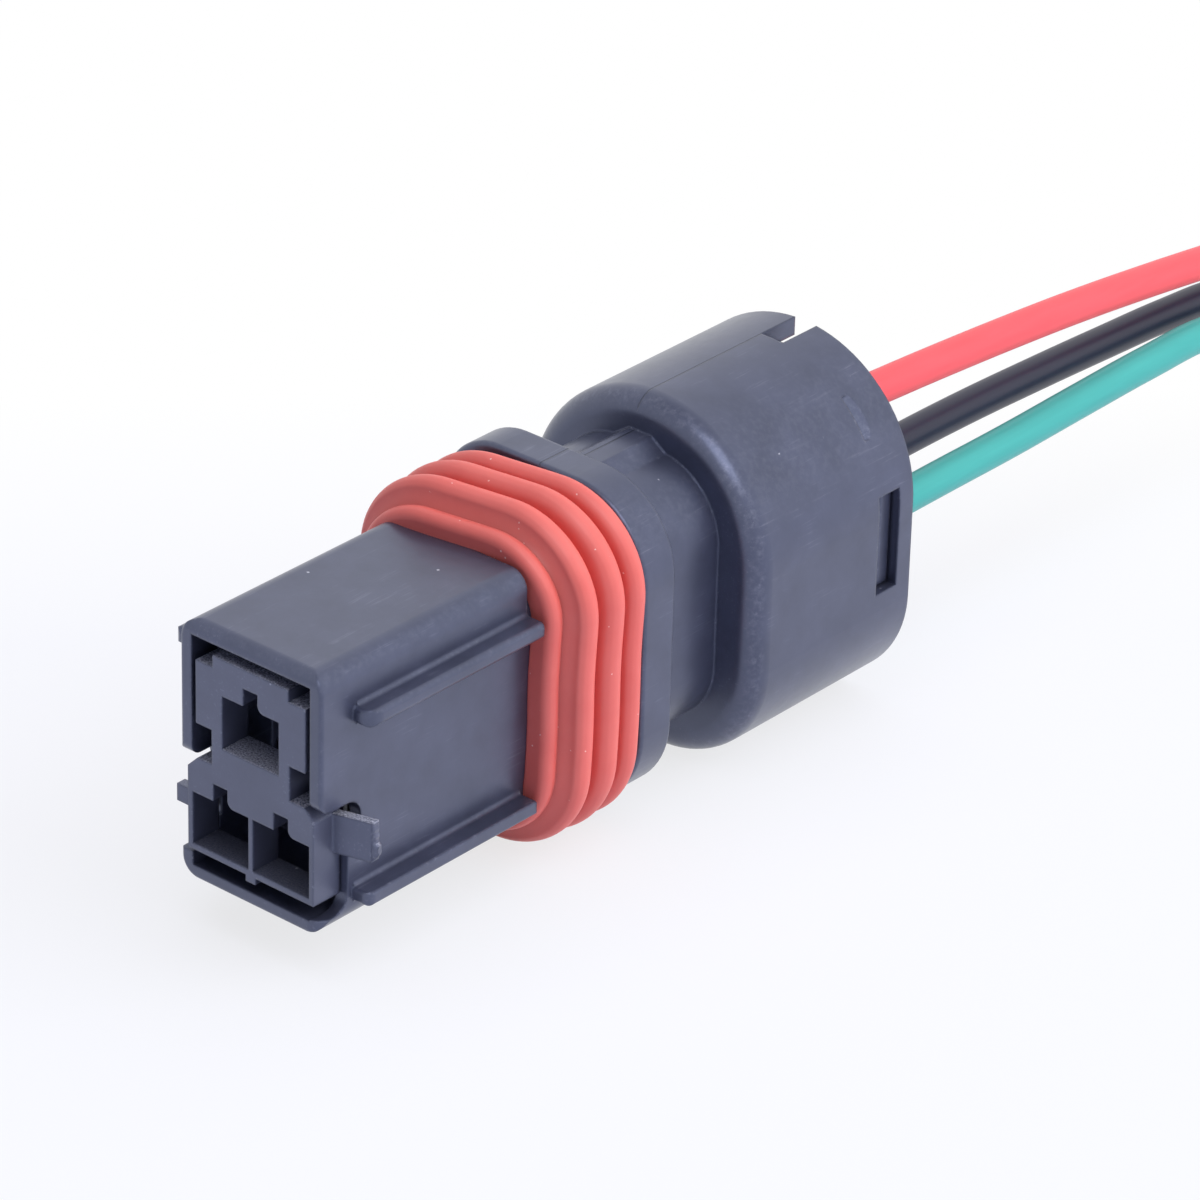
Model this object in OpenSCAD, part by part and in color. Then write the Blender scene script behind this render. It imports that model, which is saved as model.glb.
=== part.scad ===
// Sealed three-way plug connector on a short pigtail.
// X is across the mating face, Y runs from the mating face to the wires, Z is up.
// Inside the modules the axis of the connector is X = Z = 0 and the rim of the nose is Y = 0.

/* [Nose] */
// Width of the nose that enters the mating socket
nose_w = 11.6; // [11.4:0.1:13]
// Height of the nose
nose_h = 17.85; // [17.6:0.05:19]
// Wall of the shroud at the sides and the top
nose_wall = 0.93; // [0.7:0.01:1]
// Thickness of the tray under the terminal lock
tray_t = 0.87; // [0.6:0.01:1.1]
// Length from the rim to the seal
nose_len = 18.3; // [16:0.1:22]
// Rounding of the long edges of the nose
nose_r = 1.3; // [1.2:0.1:2]
// Rounding of the outer edge of the rim
rim_r = 0.25; // [0.15:0.05:0.5]
// Rounding of the front edge of the shroud's roof
roof_r = 0.8; // [0.4:0.1:0.9]
// Depth of the shroud in front of the terminal carrier
shroud_depth = 7; // [6:0.1:9]

/* [Side slots] */
// Length of the cut in each side wall, below its rounded end
slot_depth = 2.4; // [2.2:0.1:3]
// Length of the cut where the right-hand ear of the lock lies
ear_pocket_depth = 3.5; // [3.3:0.1:4.5]
// Clearance behind the left-hand ear of the lock
ear_gap = 0.3; // [0.2:0.05:0.5]
// Height of the end of the side wall above the axis
slot_top = -0.45; // [-0.6:0.05:0.2]
// Rounding of the front end of the side wall
slot_edge_r = 0.8; // [0.3:0.1:1]
// Height of the upturned end of the tray on the left
tray_end_h = 1.8; // [1.2:0.1:2]
// Height of the lip along the tray on the right
tray_lip = 0.1; // [0.05:0.05:0.3]
// Rounding at the foot of the cut on the right
slot_foot_r = 1.2; // [0.6:0.1:1.6]
// Rounding of the right-hand corner of the tray
tray_corner_r = 1.2; // [0.6:0.1:1.6]

/* [Rails] */
// Reach of the rails beyond the side of the nose
rail_reach = 1.45; // [1.25:0.05:1.8]
// Thickness of the upper rails
upper_rail_t = 1.1; // [0.8:0.1:1.6]
// Height of the middle of the upper rails above the axis
upper_rail_z = 5.45; // [4.5:0.05:6]
// Thickness of the lower rails
lower_rail_t = 0.9; // [0.6:0.1:1.2]
// Height of the middle of the lower rails below the axis
lower_rail_z = 6.85; // [6.5:0.05:7]
// Rounding at the roots of the rails
rail_fillet = 0.3; // [0.1:0.05:0.4]
// Rounding of the edges of the upper rails
upper_rail_r = 0.35; // [0.2:0.05:0.4]
// Rounding of the edges of the lower rails
lower_rail_r = 0.15; // [0.1:0.05:0.3]
// Distance from the rim to the front end of the rails
rail_start = 2.7; // [2.5:0.1:5]
// Distance from the rear end of the lower right-hand rail to the seat of the seal
rail_gap = 0.35; // [0.3:0.05:0.6]
// Distance from the rear ends of the left-hand rails to the seat of the seal
left_rail_gap = 2.4; // [2.3:0.1:3]
// Height of the middle of the upper rail on the left, which keys the plug
key_rail_z = 6.7; // [5:0.05:6.9]
// Distance from the rim to the front end of the key rail
key_rail_start = 1; // [0.6:0.1:3]

/* [Cavities] */
// Spacing of the two lower cavities
pitch = 5; // [5:0.05:5.2]
// Height of the upper row of cavities over the lower row
row_pitch = 7.55; // [7.4:0.05:7.8]
// Depth of the floor of the lower row below the axis
low_floor = 6.5; // [6.3:0.05:6.6]
// Width of the openings in the lock
opening_w = 4.67; // [4.3:0.01:4.7]
// Height of the openings in the lock
opening_h = 3.65; // [3.3:0.05:3.8]
// Width of the key slot over each opening
key_w = 1.2; // [0.8:0.1:1.6]
// Height of the key slot
key_h = 1.2; // [0.8:0.1:1.3]
// Rounding between the key slot and its opening, on one side
key_r = 0.5; // [0.2:0.1:0.6]
// Width of the terminal bores in the carrier
bore_w = 4.4; // [4.3:0.05:4.5]

/* [Terminal lock] */
// Thickness of the face of the lock
lock_t = 2.3; // [2:0.1:3]
// Wall beside the lower openings
lock_wall = 0.37; // [0.3:0.01:0.45]
// Wall under the lower openings
lock_floor = 0.4; // [0.3:0.05:0.5]
// Depth of the lower block's top below the axis
lock_waist_low = 0.35; // [0.2:0.05:0.6]
// Height of the underside of the shoulders above the axis
lock_waist_high = 2.05; // [1.8:0.05:2.4]
// Width of the waist between the blocks
lock_waist_w = 6.4; // [6:0.1:7]
// Height of the shoulders above the axis
shoulder_top = 6.4; // [6.2:0.05:6.8]
// Height of the top of the lock above the axis
lock_top = 7.2; // [6.9:0.05:7.4]
// Width of the raised middle of the lock
lock_crown_w = 6.2; // [5:0.1:7]
// Clearance between the lock and the walls of the shroud
lock_gap = 0.37; // [0.25:0.01:0.5]
// Thickness of the ears
ear_t = 0.7; // [0.5:0.05:0.9]
// Height of the right-hand ear
ear_h = 2.7; // [2:0.1:3]
// Height of the left-hand ear
left_ear_h = 1.2; // [0.8:0.1:1.6]
// Reach of the ears beyond the sides of the lower block
ear_reach = 2.5; // [1.5:0.1:3]
// Set-back of the tip of the right-hand ear
ear_sweep = 0.75; // [0.3:0.05:0.8]
// Thickness of the two guide arms
arm_t = 1.2; // [0.8:0.1:1.3]
// Length of the guide arms behind the face
arm_len = 9.5; // [7:0.5:12]
// Clearance of the guide arms in the carrier
arm_gap = 0.2; // [0.1:0.05:0.25]

/* [Interface seal] */
// Width of the seat of the seal
seat_w = 11.6; // [11:0.1:12]
// Height of the seat of the seal
seat_h = 17.2; // [16.5:0.1:18]
// Corner radius of the seat
seat_r = 3.4; // [3:0.1:4.5]
// Length of the seat
seat_len = 8.1; // [8.1:0.1:11]
// Length of the seal
seal_len = 7.9; // [7.7:0.1:8]
// Thickness of the seal at its three sealing ridges
seal_t = 3.2; // [2.6:0.1:3.4]
// Thickness of the seal at its front ridge
seal_front_t = 1.7; // [1.5:0.1:1.9]
// Spacing of the sealing ridges
ridge_pitch = 2.35; // [2.3:0.05:2.4]
// Radius of the crests of the ridges
crest_r = 1; // [0.9:0.05:1.05]
// Depth of the valleys between the ridges
valley_depth = 1.1; // [1:0.05:1.15]
// Radius of the bead along the front of the seal
bead_r = 0.85; // [0.6:0.05:0.9]
// Depth of the groove behind the bead
bead_groove = 0.5; // [0.3:0.05:0.6]
// Lean of the seal on its seat seen from above, as a slope
seal_lean = 0.13; // [0:0.01:0.14]
// Lean of the seal on its seat seen from the side, as a slope
seal_tip = 0.03; // [0:0.01:0.04]

/* [Flange] */
// Width of the flange behind the seal
flange_w = 16.8; // [15:0.1:18]
// Height of the flange
flange_h = 22.3; // [20:0.1:23]
// Corner radius of the flange
flange_r = 6; // [4:0.1:7]
// Corner radius of the flange at its upper left, which keys the plug
flange_key_r = 4.4; // [3:0.1:5.4]
// Thickness of the flange
flange_t = 3; // [2:0.1:4]
// Rounding of the edges of the flange
flange_edge_r = 0.3; // [0.1:0.05:0.8]

/* [Neck] */
// Width of the neck
neck_w = 13.2; // [12:0.1:15]
// Height of the neck
neck_h = 18.6; // [17.5:0.1:20]
// Corner radius of the neck
neck_r = 5; // [3:0.1:5.5]
// Length of the neck
neck_len = 6.2; // [4:0.1:9]
// Width of the rib on top of the neck
neck_rib_w = 1.8; // [1.2:0.1:3]
// Width of the foot of the rib
neck_rib_foot = 4.6; // [3.2:0.1:5]
// Height of the top of the rib above the axis
neck_rib_z = 10.1; // [9.8:0.1:11]

/* [Rear shell] */
// Width of the shell
shell_w = 19.6; // [19:0.1:21]
// Height of the top of the shell above the axis
shell_top = 12.45; // [12.2:0.05:13]
// Depth of the bottom of the shell below the axis
shell_base = 12.15; // [12.1:0.05:13]
// Radius of the lower corners of the shell
shell_base_r = 8; // [6:0.1:9]
// Length of the shell
shell_len = 15.8; // [15:0.1:19]
// Rounding of the front edge of the shell
shell_edge_r = 1.6; // [0.8:0.1:2]
// Wall of the shell
shell_wall = 1.3; // [1:0.05:1.5]
// Thickness of the front wall of the shell
shell_front_t = 1.6; // [1.2:0.1:2.5]
// Distance of the windows from the rear edge
window_rear = 1.35; // [1:0.05:1.6]
// Length of the windows along the connector
window_len = 2.1; // [1.8:0.1:2.5]
// Height of the side windows
window_h = 7.05; // [5:0.05:8]
// Height of the middle of the side windows above the axis
window_z = 0.65; // [0:0.05:1]
// Width of the notch at the top of the rear edge
notch_w = 1.75; // [1.2:0.05:3]
// Offset of the notch from the middle
notch_x = 0.4; // [-0.6:0.1:0.6]
// Length of the upper latch pockets round the shell
pocket_w = 3.2; // [2:0.1:4]
// Depth of the upper latch pockets at their front edge
pocket_d = 0.4; // [0.3:0.05:0.8]
// Length over which the upper latch pockets run out
pocket_len = 0.9; // [0.6:0.05:1]
// Angle of the upper latch pockets from the top
pocket_angle = 49; // [40:1:60]

/* [Wire seal and rear cover] */
// Thickness of the wire seal
wire_seal_t = 5.6; // [4.5:0.1:6.2]
// Height of the lips round the wire seal
wire_seal_lip = 0.6; // [0.3:0.05:0.8]
// Thickness of the plate of the rear cover
cover_t = 2.4; // [1.5:0.1:2.8]
// Wall of the skirt of the rear cover
cover_wall = 1.2; // [0.8:0.1:1.5]
// Clearance of the rear cover in the shell
cover_gap = 0.15; // [0.1:0.01:0.2]
// Distance of the latch lugs below the outside of the shell
lug_recess = 0.7; // [0.4:0.05:0.8]
// Clearance of the latch lugs in the windows
lug_gap = 0.15; // [0.1:0.01:0.2]
// Clearance of the wires in the rear cover
cover_hole_gap = 0.3; // [0.2:0.05:0.4]

/* [Contacts and wires] */
// Width of the contact boxes
contact_w = 3.9; // [3.6:0.05:3.95]
// Height of the contact boxes
contact_h = 3.1; // [2.6:0.05:3.3]
// Length of the contact boxes
contact_len = 8.5; // [7:0.1:10]
// Sheet that the contacts are folded from
contact_t = 0.35; // [0.25:0.05:0.4]
// Sheet of the steel springs round the boxes
spring_t = 0.15; // [0.1:0.01:0.18]
// Length of the steel springs
spring_len = 6; // [4:0.1:7]
// Outside diameter of the wires
wire_d = 2.4; // [2.2:0.05:2.45]
// Diameter of the bundle of copper strands
core_d = 1.3; // [0.9:0.1:1.5]
// Height of the wires above the floors of the cavities
wire_rise = 3.4; // [3.2:0.05:3.5]
// Gap between the tie and the bundle of wires
tie_gap = 0.05; // [0.02:0.01:0.1]
// Thickness of the strap of the tie
tie_t = 0.5; // [0.4:0.05:0.6]
// Width of the strap of the tie
tie_w = 2.2; // [1.5:0.1:4]

/* [Hidden] */
$fn = 64;
eps = 0.01;
over = 1;

// Places along the connector, from the rim
seat_y = nose_len;
flange_y = seat_y + seat_len;
neck_y = flange_y + flange_t;
shell_y = neck_y + neck_len;
chamber_y = shell_y + shell_front_t;
body_len = shell_y + shell_len;
cover_y = chamber_y + wire_seal_t;
window_y = body_len - window_rear - window_len;
contact_y = shroud_depth + 0.6;
crimp_y = contact_y + contact_len + 2.5;
crimp_len = 3;
strip_len = 0.8;
grip_y = crimp_y + crimp_len + strip_len;
grip_len = 2.4;
wire_y = crimp_y + crimp_len + 0.3;

// The three ways: across, and the height of the cavity floor
ways = [[0, row_pitch - low_floor], [-pitch / 2, -low_floor], [pitch / 2, -low_floor]];

// The lock follows the shroud and the openings
shroud_w = nose_w - 2 * nose_wall;
shoulder_w = shroud_w - 2 * lock_gap;
low_block_w = pitch + opening_w + 2 * lock_wall;
low_block_floor = -low_floor - lock_floor;
ear_z = -lock_waist_low - 2.1;
left_ear_z = ear_z - ear_h / 2 - 0.9;
arm_x = bore_w / 2 + 0.6;
arm_h = shoulder_top - lock_waist_high - 0.8;
arm_z = (shoulder_top + lock_waist_high) / 2;

// Routes of the free wires in the frame of the part, from the rear of the shell to the hank
free_red = [
    [0, 31, 16.6], [0, 36, 16.4], [0, 42, 15.9], [0, 49, 15.3], [0, 56, 14.7], [0, 63, 14.2],
    [0.2, 70, 13.7], [1.2, 76, 12.8], [3, 82, 11.1], [5, 88, 9.1], [6.9, 94, 7.4], [8.1, 99, 6.6],
    [8.4, 102, 6.5], [8.4, 104, 6.5]
];
free_black = [
    [-2.5, 31, 9.1], [-2.5, 38, 9.3], [-2.5, 46, 9.2], [-2.5, 54, 9], [-2.5, 62, 8.7], [-2.4, 69, 8.4],
    [-1.6, 75, 7.9], [0.4, 81, 6.9], [3.2, 87, 5.6], [6, 93, 4.6], [7.9, 98, 4.2], [8.4, 102, 4.1],
    [8.4, 104, 4.1]
];
free_green = [
    [2.5, 31, 9.1], [2.5, 38, 9.2], [2.5, 46, 9.2], [2.5, 54, 9.2], [2.5, 62, 9.1], [2.6, 69, 8.7],
    [3, 75, 7.4], [4, 81, 5.4], [5.4, 87, 3.5], [6.9, 93, 2.3], [7.9, 98, 1.8], [8.4, 102, 1.7],
    [8.4, 104, 1.7]
];
hank_x = 8.4;
hank_near = 104;
hank_far = 119;
cord_sides = 8;

// Puts a piece from the axis of the connector into the frame of the part
module place() {
    translate([0, -body_len / 2, shell_base]) children();
}

// Extrudes a section, drawn across and up, from one place on the axis to another
module along(y0, y1) {
    translate([0, y1, 0]) rotate([90, 0, 0]) linear_extrude(y1 - y0) children();
}

// Rectangle with round corners
module round_rect(w, h, r) {
    square([w - 2 * r, h], center = true);
    square([w, h - 2 * r], center = true);
    for (sx = [-1, 1], sy = [-1, 1]) {
        translate([sx * (w / 2 - r), sy * (h / 2 - r)]) circle(r);
    }
}

// Both sides of a section whose children give its edge beyond the distance c from the middle
module both_sides(c, len) {
    translate([c, 0]) children();
    mirror([1, 0]) translate([c, 0]) children();
    translate([-c, 0]) square([2 * c, len]);
}

// Prism with round corners whose sides follow a profile along the connector
module edged_prism(w, h, r, len) {
    for (sx = [-1, 1], sz = [-1, 1]) {
        translate([sx * (w / 2 - r), 0, sz * (h / 2 - r)]) rotate([-90, 0, 0]) rotate_extrude() children();
    }
    linear_extrude(h - 2 * r, center = true) both_sides(w / 2 - r, len) children();
    rotate([0, 90, 0]) linear_extrude(w - 2 * r, center = true) both_sides(h / 2 - r, len) children();
}

// Profile of a side with a rounded front edge
module round_front(r, len, edge) {
    translate([0, edge]) square([r, len - edge]);
    square([r - edge, len]);
    translate([r - edge, edge]) circle(edge);
}

// Profile of a side with both edges rounded
module round_edges(r, len, edge) {
    translate([0, edge]) square([r, len - 2 * edge]);
    square([r - edge, len]);
    for (y = [edge, len - edge]) {
        translate([r - edge, y]) circle(edge);
    }
}

// Section of the rear shell, with its wall taken off by inset
module shell_section(inset = 0) {
    half = shell_w / 2;
    base_x = half - shell_base_r;
    base_z = shell_base_r - shell_base;
    translate([0, shell_top - half]) circle(half - inset);
    translate([-half + inset, base_z]) square([shell_w - 2 * inset, shell_top - half - base_z]);
    translate([-base_x, inset - shell_base]) square([2 * base_x, shell_base_r]);
    for (sx = [-1, 1]) {
        translate([sx * base_x, base_z]) circle(shell_base_r - inset);
    }
}

// Rear shell with its rounded front edge, before it is hollowed
module shell_body() {
    half = shell_w / 2;
    base_x = half - shell_base_r;
    base_z = shell_base_r - shell_base;
    top_z = shell_top - half;
    translate([0, 0, top_z]) rotate([-90, 0, 0]) rotate_extrude() round_front(half, shell_len, shell_edge_r);
    for (sx = [-1, 1]) {
        translate([sx * base_x, 0, base_z]) rotate([-90, 0, 0]) rotate_extrude()
            round_front(shell_base_r, shell_len, shell_edge_r);
    }
    translate([0, 0, base_z]) linear_extrude(top_z - base_z)
        both_sides(half - 2 * shell_edge_r, shell_len) round_front(2 * shell_edge_r, shell_len, shell_edge_r);
    translate([0, 0, base_z]) rotate([0, 90, 0]) linear_extrude(2 * base_x, center = true)
        round_front(shell_base_r, shell_len, shell_edge_r);
}

// Section of a terminal bore, over the floor of its cavity
module bore_section() {
    translate([-bore_w / 2, 0]) square([bore_w, wire_rise]);
    translate([0, wire_rise]) circle(bore_w / 2);
}

// Section of a rail on the right-hand side: rounded outer edges, and fillets at its root
module rail_section(t, edge_r) {
    side = nose_w / 2;
    root = side - nose_wall / 2;
    reach = side + rail_reach - root;
    translate([root, edge_r - t / 2]) square([reach, t - 2 * edge_r]);
    translate([root, -t / 2]) square([reach - edge_r, t]);
    for (edge = [-1, 1]) {
        translate([root + reach - edge_r, edge * (t / 2 - edge_r)]) circle(edge_r);
    }
    difference() {
        translate([root, -t / 2 - rail_fillet]) square([side - root + rail_fillet, t + 2 * rail_fillet]);
        for (edge = [-1, 1]) {
            translate([side + rail_fillet, edge * (t / 2 + rail_fillet)]) circle(rail_fillet);
        }
    }
}

// Side rail on the right-hand side: its front end is rounded off from above and from the side
module side_rail(z, t, start, end, tip_r, edge_r) {
    reach = nose_w / 2 + rail_reach;
    len = end - start;
    translate([0, 0, z]) intersection() {
        along(start, end) rail_section(t, edge_r);
        linear_extrude(2 * t + 2 * rail_fillet, center = true) {
            translate([0, start + tip_r]) square([reach + over, len]);
            translate([0, start - over]) square([reach - tip_r, len]);
            translate([reach - tip_r, start + tip_r]) circle(tip_r);
        }
        rotate([90, 0, 90]) linear_extrude(2 * reach) {
            translate([start + edge_r, -t - rail_fillet]) square([len, 2 * t + 2 * rail_fillet]);
            translate([start, edge_r - t / 2]) square([len, t - 2 * edge_r]);
            for (edge = [-1, 1]) {
                translate([start + edge_r, edge * (t / 2 - edge_r)]) circle(edge_r);
            }
        }
    }
}

module side_rails() {
    left_end = seat_y - left_rail_gap;
    side_rail(upper_rail_z, upper_rail_t, rail_start, seat_y, 1.2, upper_rail_r);
    side_rail(-lower_rail_z, lower_rail_t, rail_start, seat_y - rail_gap, 0.6, lower_rail_r);
    mirror([1, 0, 0]) {
        side_rail(key_rail_z, upper_rail_t, key_rail_start, left_end, 0.6, upper_rail_r);
        side_rail(-lower_rail_z, lower_rail_t, rail_start, left_end, 0.6, lower_rail_r);
    }
}

// What is taken off the front edge of the shroud's roof, seen from the side: along, and up
module roof_corner() {
    difference() {
        translate([-over, nose_h / 2 - roof_r]) square([over + roof_r, over + roof_r]);
        translate([roof_r, nose_h / 2 - roof_r]) circle(roof_r);
    }
}

// What is taken off the right-hand corner of the tray, seen from above
module tray_corner() {
    difference() {
        translate([nose_w / 2 - tray_corner_r, -over]) square(tray_corner_r + over);
        translate([nose_w / 2 - tray_corner_r, tray_corner_r]) circle(tray_corner_r);
    }
}

// Cut through a side wall from its foot up, seen from the side: along, and up
module slot_outline(foot, foot_r) {
    low = foot - nose_h / 2;
    translate([-over, low]) square([slot_depth - foot_r + over, slot_top - low]);
    translate([-over, low + foot_r]) square([slot_depth + over, slot_top - low - foot_r]);
    translate([slot_depth - foot_r, low + foot_r]) circle(foot_r);
    difference() {
        translate([-over, slot_top - eps]) square([over + slot_edge_r, slot_edge_r]);
        translate([slot_edge_r, slot_top + slot_edge_r]) circle(slot_edge_r);
    }
}

// Room for an ear of the lock in one side wall, under an arch
module ear_pocket(depth, low) {
    arch_r = 1.2;
    translate([-over, low]) square([depth + over, slot_top - arch_r - low]);
    translate([-over, low]) square([depth + over - arch_r, slot_top - low]);
    translate([depth - arch_r, slot_top - arch_r]) circle(arch_r);
}

// Upper latch pocket under the surface at the height r: along, and up
module latch_pocket(r) {
    polygon([[0, r - pocket_d], [2 * pocket_len, r + pocket_d], [0, r + pocket_d]]);
}

module latch_windows() {
    translate([-shell_w, window_y, window_z - window_h / 2]) cube([2 * shell_w, window_len, window_h]);
    translate([notch_x - notch_w / 2, window_y, shell_top - shell_w / 2])
        cube([notch_w, body_len - window_y + over, shell_w]);
    for (side = [-1, 1]) {
        translate([0, window_y, shell_top - shell_w / 2]) rotate([0, side * pocket_angle, 0])
            rotate([90, 0, 90]) linear_extrude(pocket_w, center = true) latch_pocket(shell_w / 2);
    }
}

// Side of the flange, from the middle to the edge at the distance out
module flange_side(out) {
    round_edges(out, flange_t, flange_edge_r);
}

// Flange behind the seal: four corners, then its sides
module flange() {
    half_w = flange_w / 2;
    half_h = flange_h / 2;
    for (corner = [[-1, -1, flange_r], [1, -1, flange_r], [1, 1, flange_r], [-1, 1, flange_key_r]]) {
        translate([corner[0] * (half_w - corner[2]), 0, corner[1] * (half_h - corner[2])])
            rotate([-90, 0, 0]) rotate_extrude() flange_side(corner[2]);
    }
    translate([0, 0, flange_r - half_h]) linear_extrude(flange_h - 2 * flange_r) flange_side(half_w);
    translate([0, 0, flange_r - half_h]) mirror([1, 0, 0])
        linear_extrude(flange_h - flange_r - flange_key_r) flange_side(half_w);
    translate([flange_r - half_w, 0, 0]) rotate([0, 90, 0])
        linear_extrude(flange_w - 2 * flange_r) flange_side(half_h);
    translate([flange_key_r - half_w, 0, 0]) mirror([0, 0, 1]) rotate([0, 90, 0])
        linear_extrude(flange_w - flange_r - flange_key_r) flange_side(half_h);
}

// Section of the rib on top of the neck, with sloping flanks
module neck_rib() {
    foot_z = neck_h / 2 - 0.15;
    polygon([
        [-neck_rib_foot / 2, foot_z], [neck_rib_foot / 2, foot_z],
        [neck_rib_w / 2, neck_rib_z], [-neck_rib_w / 2, neck_rib_z]
    ]);
}

module housing() {
    color("#33353d") place() difference() {
        union() {
            edged_prism(nose_w, nose_h, nose_r, seat_y) round_front(nose_r, seat_y, rim_r);
            side_rails();
            along(seat_y - eps, flange_y + eps) round_rect(seat_w, seat_h, seat_r);
            translate([0, flange_y, 0]) flange();
            along(neck_y - eps, shell_y + eps) {
                round_rect(neck_w, neck_h, neck_r);
                neck_rib();
            }
            translate([0, shell_y, 0]) shell_body();
        }
        along(-over, shroud_depth) translate([-shroud_w / 2, tray_t - nose_h / 2])
            square([shroud_w, nose_h - nose_wall - tray_t]);
        rotate([90, 0, 90]) {
            linear_extrude(2 * nose_w, center = true) roof_corner();
            linear_extrude(nose_w) {
                slot_outline(tray_t + tray_lip, slot_foot_r);
                ear_pocket(ear_pocket_depth, ear_z - ear_h / 2 - ear_gap);
            }
            translate([0, 0, -nose_w]) linear_extrude(nose_w) {
                slot_outline(tray_end_h, 0.3);
                ear_pocket(lock_t + ear_gap, left_ear_z - left_ear_h / 2 - ear_gap);
            }
        }
        translate([0, 0, -nose_h / 2 - over]) linear_extrude(over + tray_t + 3 * tray_lip) tray_corner();
        for (way = ways) {
            translate([way[0], 0, way[1]]) along(shroud_depth - over, chamber_y + over) bore_section();
        }
        for (side = [-1, 1]) {
            translate([side * (arm_x + arm_t / 2), 0, arm_z])
                along(shroud_depth - over, lock_t + arm_len + arm_gap)
                    square([arm_t + 2 * arm_gap, arm_h + 2 * arm_gap], center = true);
        }
        along(chamber_y, body_len + over) shell_section(shell_wall);
        latch_windows();
    }
}

// Face of the lock: raised crown, shoulders, waist and lower block
module lock_face() {
    corner = 0.8;
    half = low_block_w / 2;
    translate([-lock_crown_w / 2, lock_waist_high]) square([lock_crown_w, lock_top - lock_waist_high]);
    translate([-shoulder_w / 2, lock_waist_high]) square([shoulder_w, shoulder_top - lock_waist_high]);
    translate([-lock_waist_w / 2, -lock_waist_low - over])
        square([lock_waist_w, lock_waist_low + lock_waist_high + 2 * over]);
    polygon([
        [-half, low_block_floor], [half, low_block_floor],
        [half, -lock_waist_low - corner], [half - corner, -lock_waist_low],
        [corner - half, -lock_waist_low], [-half, -lock_waist_low - corner]
    ]);
}

// Opening of one way, with its key slot, over the floor of the cavity
module keyhole() {
    translate([-opening_w / 2, 0]) square([opening_w, opening_h]);
    translate([-key_w / 2, opening_h - over]) square([key_w, key_h + over]);
    translate([key_w / 2, opening_h]) difference() {
        translate([-eps, -eps]) square(key_r);
        translate([key_r, key_r]) circle(key_r);
    }
}

// Ear on the right-hand side of the lower block, from above, with its tip set back by sweep
module ear_outline(sweep) {
    root_x = low_block_w / 2 - 0.2;
    tip_x = low_block_w / 2 + ear_reach;
    root_y = lock_t - ear_t;
    tip_y = root_y + sweep;
    polygon([[root_x, root_y], [tip_x, tip_y], [tip_x, tip_y + ear_t], [root_x, root_y + ear_t]]);
}

module terminal_lock() {
    keel_w = 0.8;
    keel_h = 0.45;
    color("#3a3c45") place() difference() {
        union() {
            along(0, lock_t) lock_face();
            along(0, lock_t) translate([-keel_w / 2, low_block_floor - keel_h]) square([keel_w, 2 * keel_h]);
            translate([0, 0, ear_z]) linear_extrude(ear_h, center = true) ear_outline(ear_sweep);
            translate([0, 0, left_ear_z]) mirror([1, 0, 0])
                linear_extrude(left_ear_h, center = true) ear_outline(0);
            for (side = [0, 1]) {
                mirror([side, 0, 0]) translate([arm_x, lock_t - over, arm_z - arm_h / 2])
                    cube([arm_t, arm_len + over, arm_h]);
            }
        }
        for (way = ways) {
            translate([way[0], 0, way[1]]) along(-over, lock_t + over) keyhole();
        }
    }
}

// Side of the seal along the connector, from the corner centres of its seat outwards.
// Crests and valleys are arcs that run into each other.
module seal_profile() {
    half_pitch = ridge_pitch / 2;
    rise = (half_pitch * half_pitch / valley_depth - valley_depth) / 2;
    arcs = rise + valley_depth;
    crest_x = seat_r + seal_t - crest_r;
    last = seal_len - crest_r;
    first = last - 2 * ridge_pitch;
    bead_x = seat_r + seal_front_t - bead_r;
    difference() {
        union() {
            square([bead_x, seal_len]);
            translate([bead_x, bead_r]) circle(bead_r);
            translate([0, bead_r]) square([seat_r + seal_front_t - bead_groove, seal_len - 2 * bead_r]);
            translate([0, first]) square([crest_x + rise * crest_r / arcs, 2 * ridge_pitch]);
            translate([0, first - crest_r]) square([crest_x, seal_len - first + crest_r]);
            for (i = [0 : 2]) {
                translate([crest_x, first + i * ridge_pitch]) circle(crest_r);
            }
        }
        for (i = [0 : 1]) {
            translate([crest_x + rise, first + (i + 0.5) * ridge_pitch]) circle(arcs - crest_r);
        }
    }
}

// The seal has crept forward on its seat, most of all at the left
module interface_seal() {
    creep = seal_lean * (seat_w / 2 + 0.7 * seal_t);
    lean = [[1, 0, 0, 0], [seal_lean, 1, seal_tip, seat_y - creep], [0, 0, 1, 0], [0, 0, 0, 1]];
    color("#d4544e") place() difference() {
        multmatrix(lean) edged_prism(seat_w, seat_h, seat_r, seal_len) seal_profile();
        along(seat_y - over, flange_y + over) round_rect(seat_w, seat_h, seat_r);
        along(shroud_depth, seat_y) round_rect(nose_w, nose_h, nose_r);
    }
}

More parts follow.
